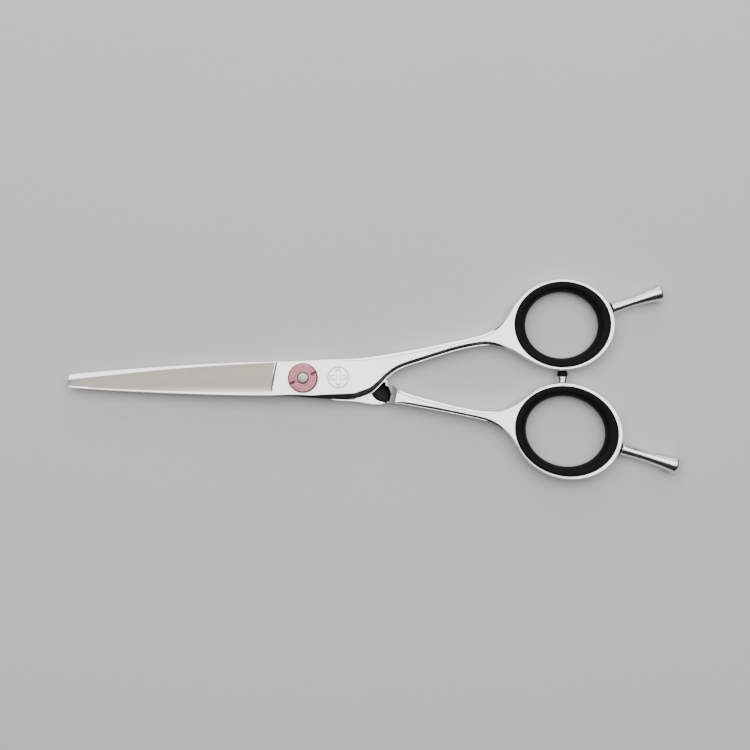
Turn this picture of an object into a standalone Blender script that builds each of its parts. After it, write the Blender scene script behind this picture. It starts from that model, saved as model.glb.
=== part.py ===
"""Hair cutting shears, closed and lying flat.

The origin is on the pivot's axis, on the surface that the shears lie on. +X points along the handles,
+Y towards the upper finger ring and +Z up. The front half lies on the back half: left of the pivot each
is a blade of half the thickness, and right of it each grows to the full thickness of its handle.
Sizes below are in millimetres, and MM turns them into Blender's metres.
"""

from math import atan2, cos, pi, radians, sin, sqrt

import bmesh
import bpy
from mathutils import Matrix, Vector

MM = 0.001

# Driving dimensions -------------------------------------------------------------------------------
RIDE_Z = 2.5                # height of the plane in which the two halves meet
RIDE_GAP = 0.05             # from that plane to each half's ride face
HANDLE_HIGH_Z = 4.75        # top of both handles and of the front half; their undersides mirror it
JOIN_X = 6.0                # where the blade's stations end and the handle's outline starts
GRIND_X = -7.2              # where the flat pivot area ends and the ground blade starts
TIP_X = -59.2
TIP_ROUND = 0.65            # length of the rounding at each blade's tip
TIP_BLUNT = 0.6             # share of the blade's width that the blunt end keeps
STEP_R = 20.8               # from the pivot to the foot of the step where a handle gets thicker
STEP_FILLET = 3.1
SCOOP_CENTRE = (19.3, -3.4, RIDE_Z + 0.35)      # of the hollow in the back half's ride face
SCOOP_SIZE = (3.1, 2.3, 1.3)
SCOOP_TURN = radians(-50)

BLADE_SPINE_AT_TIP = 1.0    # blade thickness at the spine, near the tip
EDGE_THICK = 0.28           # and at the cutting edge
HOLLOW = 0.012              # depth of the hollow ground into each ride face, as a share of its width

# A ring is (centre x, centre y, half length, half width, tilt in degrees).
UPPER_OUTER = (65.0, 13.39, 13.15, 11.45, 0.0)
UPPER_INNER = (65.0, 13.39, 11.98, 10.62, 0.0)
LOWER_OUTER = (66.35, -13.36, 13.95, 12.0, -16.0)
LOWER_INNER = (66.05, -13.37, 12.98, 11.11, -14.5)
RING_BEVEL = 0.22
HOLE_BEVEL = 0.15

UPPER_WAIST = (65.0, 13.3, 9.2, 8.35, 0.0)      # an insert's hole at mid height, where it is narrowest
LOWER_WAIST = (66.0, -13.45, 10.1, 8.8, -14.5)
INSERT_GAP = 0.06           # between a ring and its rubber insert
INSERT_FLARE = 1.0          # how much wider its hole is at its two faces
INSERT_HIGH_Z = 5.0

DIAL_R = 3.75
DIAL_LOW_Z = 5.06
DIAL_HIGH_Z = 6.3
DIAL_BORE_R = 1.95
DIAL_POCKET_R = 3.0
DIAL_POCKET_Z = 5.42
NOTCH_ANGLE = radians(25)
NOTCH_WIDE = 0.6
NOTCH_FROM = 2.17           # from the axis to the notch's inner end
NOTCH_DEEP = 0.55
HUB_R = 1.89
HUB_BORE_R = 1.5

HEAD_R = 3.4
HEAD_HIGH_Z = 0.85
NECK_R = 2.1
NECK_FLAT = 1.78            # from the axis to each flat of the keyed neck
JOURNAL_R = 1.7
STUD_R = 1.38
STUD_LOW_Z = 4.95
STUD_HIGH_Z = 6.45
BUSH_R = 2.12
BUSH_BORE_R = 1.76

RACE_R = 3.72               # radius of the ball race's recess in each ride face
RACE_DEEP = 0.47
BALLS = 8
BALL_R = 0.45
BALL_PITCH_R = 2.9
CAGE_IN_R = 2.2
CAGE_OUT_R = 3.6
CAGE_THICK = 0.3
BALL_HOLE_R = 0.5
SPRING_IN_R = 1.95          # the spring washer and the click plate go round the screw under the dial
SPRING_OUT_R = 2.9
SPRING_THICK = 0.12
CLICK_PLATE_R = 3.3

REST_STUB_R = 0.75          # threaded stubs of the tangs and of the bumper's screw
STUB_CLEAR = 0.07
WASHER_R = 1.42
WASHER_THICK = 0.22
FIT_GAP = 0.06              # between pieces that are screwed or pressed against each other

# Tang: (base x, base y, direction in degrees, length, base, waist and end radii)
UPPER_REST = (77.4, 17.47, 18.0, 13.8, 1.5, 1.28, 2.12)
LOWER_REST = (79.75, -17.68, -16.8, 15.4, 1.55, 1.38, 2.22)

BUMPER_X = 65.2
BUMPER_FOOT_Y = -1.12       # where the bumper's screw meets the lower ring
BUMPER_TIP_Y = 1.86
BARREL_R = 1.3
BARREL_TOP_Y = -0.28
COLLAR_R = 1.55
COLLAR_TOP_Y = 0.34
TIP_R = 1.3
PEG_R = 0.55

# Outlines, seen from above, as the few points that a smooth curve goes through ----------------------
# Along each blade from its tip: the straight-ish spine and the gently bowed cutting edge.
FRONT_SPINE = ((-59.6, -2.42), (-51.1, -3.03), (-36.0, -3.81), (-20.9, -4.3), (-7.0, -4.5),
               (-2.0, -4.62), (2.0, -4.95), (6.0, -5.25))
FRONT_EDGE = ((-59.6, -0.45), (-50.8, 0.53), (-36.0, 2.05), (-20.9, 3.15), (-7.8, 3.9), (6.0, 4.6))
BACK_SPINE = ((-59.6, 0.85), (-51.1, 1.65), (-36.0, 2.83), (-20.9, 3.73), (-7.0, 4.1), (6.0, 4.0))
BACK_EDGE = ((-59.6, -0.9), (-50.8, -1.6), (-36.0, -2.5), (-20.9, -3.3), (-7.8, -3.85), (0.5, -4.4),
             (6.0, -5.15))

# Along each handle from the join to its ring, lower side and upper side.
FRONT_LOWER = ((6.0, -5.25), (9.0, -5.4), (11.8, -5.45), (14.1, -5.2), (17.0, -3.94), (19.3, -1.85),
               (21.3, 0.25), (24.3, 2.34), (29.35, 4.12), (39.4, 7.16), (46.9, 8.25), (52.0, 7.1),
               (55.7, 4.9))
FRONT_UPPER = ((6.0, 4.6), (14.3, 4.95), (24.3, 6.41), (34.4, 8.39), (44.4, 10.63), (49.45, 13.39),
               (53.2, 18.7))
BACK_LOWER = ((6.0, -5.15), (8.5, -5.6), (13.0, -5.9), (18.0, -6.6), (23.1, -6.3), (29.35, -7.31),
              (39.4, -9.25), (46.9, -11.06), (51.0, -13.6), (53.45, -16.95))
BACK_UPPER = ((6.0, 4.1), (12.0, 3.5), (16.8, 2.3), (19.3, 0.7), (21.6, -1.15), (24.3, -3.1),
              (29.35, -4.85), (39.4, -7.36), (46.9, -8.44), (52.0, -7.29), (56.5, -4.27))

# Width of the bevel beside each handle's flat faces, as points of a smooth curve of width against x. The
# front half's lower side ends in a thin flange under a broad bevel, so there it starts at the pivot.
NARROW = 0.12
FRONT_LOWER_BEVEL = ((-8.0, NARROW), (2.0, 0.6), (6.0, 1.15), (12.0, 1.6), (15.5, 1.75), (19.3, 1.24),
                     (24.0, 1.05), (48.0, 1.0))
UPPER_BEVEL = ((-8.0, NARROW), (6.0, NARROW), (18.0, 0.75), (48.0, 0.75))
BACK_LOWER_BEVEL = ((-8.0, NARROW), (20.0, NARROW), (27.0, 0.65), (48.0, 0.65))
BEVEL_STEEP = 0.62          # depth of a bevel for each millimetre of its width

# Fineness -------------------------------------------------------------------------------------------
STEPS_PER_SPAN = 4
RING_STEPS = 44
BLADE_STATIONS = 16
ACROSS = 4                  # spans across the blade's faces


# Shared geometry ------------------------------------------------------------------------------------
def curve_point(points, position):
    """A point of the Catmull-Rom curve through the points, where position 1.5 is half way from 1 to 2."""
    last = len(points) - 1
    i = min(int(position), last - 1)
    t = position - i
    p1, p2 = Vector(points[i]), Vector(points[i + 1])
    p0 = Vector(points[i - 1]) if i > 0 else 2 * p1 - p2
    p3 = Vector(points[i + 2]) if i + 2 <= last else 2 * p2 - p1
    return 0.5 * (2 * p1 + (p2 - p0) * t + (2 * p0 - 5 * p1 + 4 * p2 - p3) * t * t
                  + (3 * p1 - p0 - 3 * p2 + p3) * t ** 3)


def smooth_path(points, steps):
    """Points along the smooth curve, with this many steps from each given point to the next."""
    count = (len(points) - 1) * steps
    return [curve_point(points, n / steps) for n in range(count + 1)]


def height_at(path, x):
    """The path's y where it passes x."""
    for a, b in zip(path, path[1:]):
        if a.x <= x <= b.x:
            return a.y + (b.y - a.y) * (x - a.x) / (b.x - a.x)
    return path[-1].y


def ellipse_point(ring, angle, grow=0.0):
    cx, cy, half_long, half_wide, tilt = ring
    local = Vector(((half_long + grow) * cos(angle), (half_wide + grow) * sin(angle)))
    local.rotate(Matrix.Rotation(radians(tilt), 2))
    return Vector((cx, cy)) + local


def ellipse_angle(ring, point):
    """The ellipse parameter in whose direction the point lies."""
    cx, cy, half_long, half_wide, tilt = ring
    local = Vector(point) - Vector((cx, cy))
    local.rotate(Matrix.Rotation(radians(-tilt), 2))
    return atan2(local.y / half_wide, local.x / half_long)


def run_into(points, ring, towards):
    """The smooth curve through the points and on to the ring, and the ring's angle where it arrives. A guide
    point further round the ring makes it arrive along the ring."""
    turn = radians(10) * towards
    arrival = ellipse_angle(ring, points[-1]) + turn
    guided = points + (tuple(ellipse_point(ring, arrival)), tuple(ellipse_point(ring, arrival + turn)))
    return smooth_path(guided, STEPS_PER_SPAN)[:-STEPS_PER_SPAN], arrival


def handle_path(lower, upper, ring):
    """The handle's outline, from the join along its lower side, round the ring and back on top."""
    lower_path, start = run_into(lower, ring, 1)
    upper_path, end = run_into(upper, ring, -1)
    if end < start:
        end += 2 * pi
    arc = [ellipse_point(ring, start + (end - start) * n / RING_STEPS) for n in range(RING_STEPS + 1)]
    return lower_path[:-1] + arc + upper_path[-2::-1], len(lower_path) - 1, len(lower_path) + len(arc) - 2


def inward_normals(path):
    """The unit normals to the left of a path that runs anticlockwise, square to X at its two ends."""
    normals = []
    for before, after in zip(path[:1] + path[:-1], path[1:] + path[-1:]):
        along = (after - before).normalized()
        normals.append(Vector((-along.y, along.x)))
    normals[0] = Vector((0, 1))
    normals[-1] = Vector((0, -1))
    return normals


def ease(t):
    t = min(max(t, 0.0), 1.0)
    return t * t * (3 - 2 * t)


# Objects --------------------------------------------------------------------------------------------
def material(name, colour, roughness, metallic):
    made = bpy.data.materials.new(name)
    made.use_nodes = True
    shader = made.node_tree.nodes["Principled BSDF"]
    shader.inputs["Base Color"].default_value = (*colour, 1)
    shader.inputs["Roughness"].default_value = roughness
    shader.inputs["Metallic"].default_value = metallic
    return made


def add_object(name, bm, surface=None, parent=None, origin=(0, 0, 0)):
    """Turns a bmesh in millimetres into an object in metres, with its origin at the given point."""
    bmesh.ops.translate(bm, verts=bm.verts, vec=-Vector(origin))
    bmesh.ops.scale(bm, vec=(MM, MM, MM), verts=bm.verts)
    mesh = bpy.data.meshes.new(name)
    bm.to_mesh(mesh)
    bm.free()
    mesh.shade_smooth()
    mesh.set_sharp_from_angle(angle=radians(28))
    made = bpy.data.objects.new(name, mesh)
    bpy.context.scene.collection.objects.link(made)
    made.location = Vector(origin) * MM
    if surface:
        mesh.materials.append(surface)
    if parent:
        made.parent = parent
        made.matrix_parent_inverse = Matrix.Translation(-parent.location)
    return made


def add_pivot(name, origin):
    """An empty on a joint's axis, which the moving pieces hang from."""
    made = bpy.data.objects.new(name, None)
    bpy.context.scene.collection.objects.link(made)
    made.location = Vector(origin) * MM
    return made


def add_cutter(name, bm, *targets):
    """A hidden object that is taken away from each target."""
    made = add_object(name, bm)
    made.hide_render = True
    made.display_type = "WIRE"
    for target in targets:
        cut = target.modifiers.new(name, "BOOLEAN")
        cut.operation = "DIFFERENCE"
        cut.solver = "EXACT"
        cut.object = made
    return made


def turned(profile, steps, axis_point=(0, 0, 0), axis=(0, 0, 1)):
    """A closed solid turned round an axis from (radius, height) pairs; radius 0 at an end closes it there."""
    bm = bmesh.new()
    closed_loop = profile[0][0] > 0
    rings = []
    for radius, height in profile:
        if radius == 0:
            rings.append([bm.verts.new((0, 0, height))])
            continue
        turn = [2 * pi * n / steps for n in range(steps)]
        rings.append([bm.verts.new((radius * cos(a), radius * sin(a), height)) for a in turn])
    pairs = list(zip(rings, rings[1:]))
    if closed_loop:
        pairs.append((rings[-1], rings[0]))
    for a, b in pairs:
        for n in range(steps):
            m = (n + 1) % steps
            corners = [a[n % len(a)], a[m % len(a)], b[m % len(b)], b[n % len(b)]]
            bm.faces.new(list(dict.fromkeys(corners)))
    bmesh.ops.recalc_face_normals(bm, faces=bm.faces)
    turn = Vector((0, 0, 1)).rotation_difference(Vector(axis)).to_matrix().to_4x4()
    bm.transform(Matrix.Translation(axis_point) @ turn)
    return bm


def bridge(bm, a, b, closed=True):
    """Quads between two loops of as many vertices each."""
    last = len(a) if closed else len(a) - 1
    for n in range(last):
        m = (n + 1) % len(a)
        bm.faces.new((a[n], a[m], b[m], b[n]))


def fill(bm, *loops):
    """Flat triangles between a closed loop of vertices and any loops inside it."""
    edges = []
    for loop in loops:
        for a, b in zip(loop, loop[1:] + loop[:1]):
            edges.append(bm.edges.get((a, b)) or bm.edges.new((a, b)))
    bmesh.ops.triangle_fill(bm, use_beauty=True, use_dissolve=False, edges=edges)


# The two halves -------------------------------------------------------------------------------------
class Half:
    """What sets one half apart from the other: its curves, and which side of it faces up."""

    def __init__(self, spine, edge, lower, upper, outer, inner, lower_bevel, upper_bevel, is_front):
        self.spine = smooth_path(spine, STEPS_PER_SPAN)
        self.edge = smooth_path(edge, STEPS_PER_SPAN)
        self.lower, self.upper = lower, upper
        self.outer, self.inner = outer, inner
        self.lower_bevel = smooth_path(lower_bevel, STEPS_PER_SPAN)
        self.upper_bevel = smooth_path(upper_bevel, STEPS_PER_SPAN)
        self.spine_bevel = self.lower_bevel if is_front else self.upper_bevel
        self.is_front = is_front

    def height(self, from_ride):
        """z of a point so far out from the ride plane, on this half's own side."""
        return RIDE_Z + from_ride if self.is_front else RIDE_Z - from_ride


def tip_share(x):
    """How much of the blade's full width is left here: its corners are rounded off at the blunt tip."""
    inside = min(max((TIP_X + TIP_ROUND - x) / TIP_ROUND, 0), 1)
    return TIP_BLUNT + (1 - TIP_BLUNT) * sqrt(1 - inside * inside)


def face_fall(across):
    """How far the ground face has fallen, as a share: level at the spine, then an even slope to the edge."""
    level = 0.16
    fallen = across * across / (2 * level) if across < level else across - level / 2
    return fallen / (1 - level / 2)


def blade_section(half, station_x, stage):
    """The loop of points round the blade at one station. stage is 0 on the ground blade, 1 on the flat
    pivot area and 2 at the join, where the section is the handle's own."""
    full = HANDLE_HIGH_Z - RIDE_Z
    along = ease((GRIND_X - station_x) / (GRIND_X - TIP_X))
    spine_tall = full - (full - BLADE_SPINE_AT_TIP) * along if stage == 0 else full
    slant = 1.5 if stage < 2 else 0.0
    points = []

    def place(across, inset, from_ride):
        """across is 0 at the spine and 1 at the cutting edge; inset moves the point inwards in mm."""
        x = station_x + slant * (across - 0.5) if station_x > GRIND_X - 2 and stage < 2 else station_x
        spine_y, edge_y = height_at(half.spine, x), height_at(half.edge, x)
        middle, reach = (spine_y + edge_y) / 2, (edge_y - spine_y) / 2 * tip_share(station_x)
        inward = 1 if edge_y > spine_y else -1
        y = middle + reach * (2 * across - 1) + inward * inset * (1 - 2 * round(across))
        points.append(Vector((x, y, half.height(from_ride))))

    base = RIDE_GAP + 0.03 if stage == 0 else -0.6
    low_corner = -full if stage == 2 else base
    # Spine side, from the ride face outwards.
    corner = 0.3 if stage == 0 else height_at(half.spine_bevel, station_x)
    place(0, NARROW if stage == 2 else 0.05, low_corner)
    place(0, 0, low_corner + 0.1)
    place(0, 0, spine_tall - BEVEL_STEEP * corner)
    place(0, corner, spine_tall)
    # Outer face, from the spine to the cutting edge.
    for n in range(1, ACROSS):
        across = n / ACROSS
        fall = (spine_tall - EDGE_THICK) * face_fall(across) if stage == 0 else 0
        place(across, 0, spine_tall - fall)
    # Cutting edge side, back to the ride face.
    edge_tall = EDGE_THICK if stage == 0 else full
    small = 0.04 if stage == 0 else NARROW
    place(1, small, edge_tall)
    place(1, 0, edge_tall - small)
    place(1, 0, low_corner + (small if stage != 1 else 0.1))
    place(1, small if stage != 1 else 0.05, low_corner)
    # Ride face, hollow ground between its two flat borders.
    for n in range(ACROSS - 1, 0, -1):
        across = n / ACROSS
        width = abs(height_at(half.edge, station_x) - height_at(half.spine, station_x))
        hollow = HOLLOW * width * (1 - (2 * across - 1) ** 2) if stage == 0 else 0
        place(across, 0, low_corner + hollow)
    return points


def half_body(half):
    bm = bmesh.new()
    # Blade and pivot area, station by station from the tip.
    stations = []
    for n in range(BLADE_STATIONS):
        share = n / (BLADE_STATIONS - 1)
        stations.append((TIP_X + 0.02 + (GRIND_X - 0.9 - TIP_X) * share ** 1.8, 0))
    stations += [(GRIND_X, 1), (-3.5, 1), (0.0, 1), (2.5, 1), (JOIN_X - 1.0, 1), (JOIN_X, 2)]
    loops = []
    for x, stage in stations:
        loops.append([bm.verts.new(p) for p in blade_section(half, x, stage)])
    bm.faces.new(loops[0])
    for a, b in zip(loops, loops[1:]):
        bridge(bm, a, b)

    # Handle: four loops along its outline, which start and end in the last station's corners.
    path, arc_start, arc_end = handle_path(half.lower, half.upper, half.outer)
    normals = inward_normals(path)

    def bevel_at(n):
        if arc_start <= n <= arc_end:
            return RING_BEVEL
        wide = height_at(half.lower_bevel if n < arc_start else half.upper_bevel, path[n].x)
        return wide + (RING_BEVEL - wide) * ease((path[n].x - 45) / 7)

    def level(inset_share, z, corner_at_start, corner_at_end):
        verts = []
        for n, point in enumerate(path):
            if n == 0:
                verts.append(corner_at_start)
            elif n == len(path) - 1:
                verts.append(corner_at_end)
            else:
                flat = point + normals[n] * bevel_at(n) * inset_share
                verts.append(bm.verts.new((flat.x, flat.y, z(n))))
        return verts

    last = loops[-1]
    spine_side = [last[n] for n in range(4)]
    edge_side = [last[ACROSS + 6 - n] for n in range(4)]
    far_z, near_z = half.height(HANDLE_HIGH_Z - RIDE_Z), half.height(RIDE_Z - HANDLE_HIGH_Z)
    out = 1 if half.is_front else -1
    lower_side, upper_side = (spine_side, edge_side) if half.is_front else (edge_side, spine_side)
    heights = (
        (1, lambda n: near_z),
        (0, lambda n: near_z + out * BEVEL_STEEP * bevel_at(n)),
        (0, lambda n: far_z - out * BEVEL_STEEP * bevel_at(n)),
        (1, lambda n: far_z),
    )
    levels = [level(share, z, lower_side[k], upper_side[k]) for k, (share, z) in enumerate(heights)]
    for a, b in zip(levels, levels[1:]):
        bridge(bm, a, b, closed=False)

    # The ring's hole, and the flat faces round it.
    hole = []
    inner_z = ((HOLE_BEVEL, near_z), (0, near_z + out * HOLE_BEVEL), (0, far_z - out * HOLE_BEVEL),
               (HOLE_BEVEL, far_z))
    for grow, z in inner_z:
        angles = [2 * pi * n / RING_STEPS for n in range(RING_STEPS)]
        hole.append([bm.verts.new((*ellipse_point(half.inner, a, grow), z)) for a in angles])
    for a, b in zip(hole, hole[1:]):
        bridge(bm, a, b)
    outer_face = last[4:3 + ACROSS]
    ride_face = last[7 + ACROSS:]
    if half.is_front:
        fill(bm, levels[3] + outer_face[::-1], hole[3])
        fill(bm, levels[0] + ride_face, hole[0])
    else:
        fill(bm, levels[3] + outer_face, hole[3])
        fill(bm, levels[0] + ride_face[::-1], hole[0])
    bmesh.ops.recalc_face_normals(bm, faces=bm.faces)
    return bm


def step_cutter(half):
    """Takes the other half's space away: flat at the ride face, with a hollow wall where the handle rises."""
    out = RIDE_GAP
    profile = [(0, out), (STEP_R, out)]
    for n in range(1, 7):
        turn = radians(84) * n / 6
        profile.append((STEP_R + STEP_FILLET * sin(turn), out - STEP_FILLET * (1 - cos(turn))))
    profile += [(STEP_R + STEP_FILLET, -6), (0, -6)]
    return turned([(r, half.height(h)) for r, h in profile], 96)


def ball_race_cutter(half):
    reach = RIDE_GAP + RACE_DEEP
    profile = [(0, -1), (RACE_R, -1), (RACE_R, reach - 0.15), (RACE_R - 0.15, reach), (0, reach)]
    return turned([(r, half.height(h)) for r, h in profile], 40)


def bar(radius, low, high):
    """A round bar along Z on the pivot's axis."""
    return turned([(0, low), (radius, low), (radius, high), (0, high)], 40)


def keyed_prism(radius, flat, low, high):
    """A round bar with two flats, seen from above."""
    bm = bmesh.new()
    edge = atan2(flat, sqrt(radius * radius - flat * flat))
    turns = [edge * (2 * n / 8 - 1) for n in range(9)]
    rim = [(radius * cos(a), radius * sin(a)) for a in turns]
    rim += [(-x, -y) for x, y in rim]
    bottom = [bm.verts.new((x, y, low)) for x, y in rim]
    top = [bm.verts.new((x, y, high)) for x, y in rim]
    bridge(bm, bottom, top)
    bm.faces.new(bottom)
    bm.faces.new(top)
    bmesh.ops.recalc_face_normals(bm, faces=bm.faces)
    return bm


def scoop_cutter():
    """The spoon-shaped hollow in the back half's ride face, just before its handle rises."""
    bm = bmesh.new()
    bmesh.ops.create_uvsphere(bm, u_segments=24, v_segments=14, radius=1)
    bmesh.ops.scale(bm, vec=SCOOP_SIZE, verts=bm.verts)
    bm.transform(Matrix.Translation(SCOOP_CENTRE) @ Matrix.Rotation(SCOOP_TURN, 4, "Z"))
    return bm


def stub_hole(axis_point, axis, length):
    radius = REST_STUB_R + STUB_CLEAR
    return turned([(0, -length), (radius, -length), (radius, 0.8), (0, 0.8)], 16, axis_point, axis)


def direction(degrees_above_x):
    angle = radians(degrees_above_x)
    return Vector((cos(angle), sin(angle), 0))


# Small pieces ---------------------------------------------------------------------------------------
def insert_body(ring, waist):
    """A rubber ring whose inner wall is waisted: its hole is narrowest at mid height."""
    bm = bmesh.new()
    low, high = RIDE_Z * 2 - INSERT_HIGH_Z, INSERT_HIGH_Z
    lip = 0.3
    section = [(ring, -INSERT_GAP, low + lip), (ring, -INSERT_GAP, high - lip)]
    section.append((ring, -INSERT_GAP - lip, high))
    for n in range(7):
        share = n / 6
        flare = INSERT_FLARE * (1 - sin(share * pi) ** 0.8) if 0 < n < 6 else INSERT_FLARE
        section.append((waist, flare, high - (high - low) * share))
    section.append((ring, -INSERT_GAP - lip, low))
    loops = []
    for n in range(RING_STEPS):
        angle = 2 * pi * n / RING_STEPS
        loops.append([bm.verts.new((*ellipse_point(oval, angle, grow), z)) for oval, grow, z in section])
    for a, b in zip(loops, loops[1:] + loops[:1]):
        bridge(bm, a, b)
    bmesh.ops.recalc_face_normals(bm, faces=bm.faces)
    return bm


def rest_point(rest, along):
    x, y, turn, *_ = rest
    return Vector((x, y, RIDE_Z)) + direction(turn) * along


def rest_body(rest, stub_length):
    """A tang: threaded stub, foot, waist, trumpet flare and domed end."""
    _, _, turn, length, foot_r, waist_r, end_r = rest
    start = WASHER_THICK + 2 * FIT_GAP
    profile = [(0, -stub_length), (REST_STUB_R, -stub_length), (REST_STUB_R, start), (foot_r - 0.15, start),
               (foot_r, start + 0.15)]
    waist_at, flare_at = 0.35 * length, 0.93 * length
    for n in range(1, 5):
        share = n / 4
        profile.append((foot_r + (waist_r - foot_r) * ease(share), start + (waist_at - start) * share))
    for n in range(1, 7):
        share = n / 6
        profile.append((waist_r + (end_r - waist_r) * share ** 1.8, waist_at + (flare_at - waist_at) * share))
    for n in range(1, 5):
        angle = pi / 2 * n / 4
        radius = 0 if n == 4 else end_r * (0.35 + 0.65 * cos(angle))
        profile.append((radius, flare_at + (length - flare_at) * sin(angle)))
    return turned(profile, 24, rest_point(rest, 0), direction(turn))


def washer_body(rest):
    bore = REST_STUB_R + STUB_CLEAR
    low, high = FIT_GAP, FIT_GAP + WASHER_THICK
    profile = [(bore, low), (WASHER_R, low), (WASHER_R, high), (bore, high)]
    return turned(profile, 24, rest_point(rest, 0), direction(rest[2]))


def bumper_screw_body():
    """Threaded stub, barrel and a wider collar, which is bored for the rubber tip's peg."""
    foot, bore = BUMPER_FOOT_Y, PEG_R + FIT_GAP
    profile = [(0, foot - 0.75), (REST_STUB_R, foot - 0.75), (REST_STUB_R, foot), (BARREL_R - 0.12, foot),
               (BARREL_R, foot + 0.12), (BARREL_R, BARREL_TOP_Y), (COLLAR_R, BARREL_TOP_Y + 0.1),
               (COLLAR_R, COLLAR_TOP_Y - 0.15), (COLLAR_R - 0.15, COLLAR_TOP_Y), (bore, COLLAR_TOP_Y),
               (bore, COLLAR_TOP_Y - 0.7), (0, COLLAR_TOP_Y - 0.7)]
    return turned(profile, 24, (BUMPER_X, 0, RIDE_Z), (0, 1, 0))


def bumper_tip_body():
    low = COLLAR_TOP_Y + FIT_GAP
    profile = [(0, COLLAR_TOP_Y - 0.6), (PEG_R, COLLAR_TOP_Y - 0.6), (PEG_R, low), (TIP_R - 0.1, low),
               (TIP_R, low + 0.1)]
    for n in range(1, 6):
        angle = pi / 2 * n / 5
        radius = 0 if n == 5 else TIP_R * (0.3 + 0.7 * cos(angle))
        profile.append((radius, BUMPER_TIP_Y - 0.6 + 0.6 * sin(angle)))
    return turned(profile, 24, (BUMPER_X, 0, RIDE_Z), (0, 1, 0))


def pivot_screw_body():
    """Flat back head, keyed neck in the back half, plain journal, and the threaded stud with a domed end."""
    neck_high = RIDE_Z - RIDE_GAP - RACE_DEEP - 0.05
    profile = [(0, 0), (HEAD_R - 0.25, 0), (HEAD_R, 0.25), (HEAD_R, HEAD_HIGH_Z), (JOURNAL_R, HEAD_HIGH_Z),
               (JOURNAL_R, STUD_LOW_Z - 0.3), (STUD_R, STUD_LOW_Z), (STUD_R, STUD_HIGH_Z - 0.35)]
    for n in range(1, 5):
        angle = pi / 2 * n / 4
        radius = 0 if n == 4 else STUD_R * cos(angle)
        profile.append((radius, STUD_HIGH_Z - 0.35 + 0.35 * sin(angle)))
    screw = add_object("pivot_screw", turned(profile, 32), surfaces["steel"])
    neck = add_object("pivot_screw_neck", keyed_prism(NECK_R, NECK_FLAT, HEAD_HIGH_Z - 0.2, neck_high))
    neck.hide_render = True
    neck.display_type = "WIRE"
    join = screw.modifiers.new("keyed_neck", "BOOLEAN")
    join.operation = "UNION"
    join.object = neck
    return screw


def dial_body():
    bevel = 0.42
    profile = [(DIAL_BORE_R, DIAL_POCKET_Z), (DIAL_POCKET_R, DIAL_POCKET_Z), (DIAL_POCKET_R, DIAL_LOW_Z),
               (DIAL_R - 0.1, DIAL_LOW_Z), (DIAL_R, DIAL_LOW_Z + 0.1), (DIAL_R, DIAL_HIGH_Z - bevel),
               (DIAL_R - bevel, DIAL_HIGH_Z), (DIAL_BORE_R, DIAL_HIGH_Z)]
    return turned(profile, 64)


def notch_cutter(side):
    """A radial slot in the top of the dial, for a coin or a key."""
    bm = bmesh.new()
    bmesh.ops.create_cube(bm, size=1)
    bmesh.ops.scale(bm, vec=(3.0, NOTCH_WIDE, 1.0), verts=bm.verts)
    turn = Matrix.Rotation(NOTCH_ANGLE + pi * side, 4, "Z")
    bm.transform(turn @ Matrix.Translation((NOTCH_FROM + 1.5, 0, DIAL_HIGH_Z - NOTCH_DEEP + 0.5)))
    return bm


def ring_washer(inner, outer, low, high, steps=40):
    return turned([(inner, low), (outer, low), (outer, high), (inner, high)], steps)


def spring_body():
    """A conical spring washer of even thickness."""
    low, high = DIAL_LOW_Z + 0.02, DIAL_POCKET_Z - FIT_GAP
    profile = [(SPRING_IN_R, high - SPRING_THICK), (SPRING_OUT_R, low), (SPRING_OUT_R, low + SPRING_THICK),
               (SPRING_IN_R, high)]
    return turned(profile, 40)


def cage_body():
    """A flat ring with a round window for each ball."""
    bm = bmesh.new()
    outlines = [(Vector((0, 0)), CAGE_OUT_R, 48), (Vector((0, 0)), CAGE_IN_R, 48)]
    outlines += [(ball_place(n).to_2d(), BALL_HOLE_R, 16) for n in range(BALLS)]
    low_loops, high_loops = [], []
    for centre, radius, steps in outlines:
        rim = [centre + radius * direction(360 * n / steps).to_2d() for n in range(steps)]
        low_loops.append([bm.verts.new((*p, RIDE_Z - CAGE_THICK / 2)) for p in rim])
        high_loops.append([bm.verts.new((*p, RIDE_Z + CAGE_THICK / 2)) for p in rim])
    for low, high in zip(low_loops, high_loops):
        bridge(bm, low, high)
    fill(bm, *low_loops)
    fill(bm, *high_loops)
    bmesh.ops.recalc_face_normals(bm, faces=bm.faces)
    return bm


def ball_place(n):
    angle = 2 * pi * n / BALLS
    return Vector((BALL_PITCH_R * cos(angle), BALL_PITCH_R * sin(angle), RIDE_Z))


def ball_body(n):
    bm = bmesh.new()
    bmesh.ops.create_icosphere(bm, subdivisions=2, radius=BALL_R)
    bmesh.ops.translate(bm, verts=bm.verts, vec=ball_place(n))
    return bm


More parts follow.
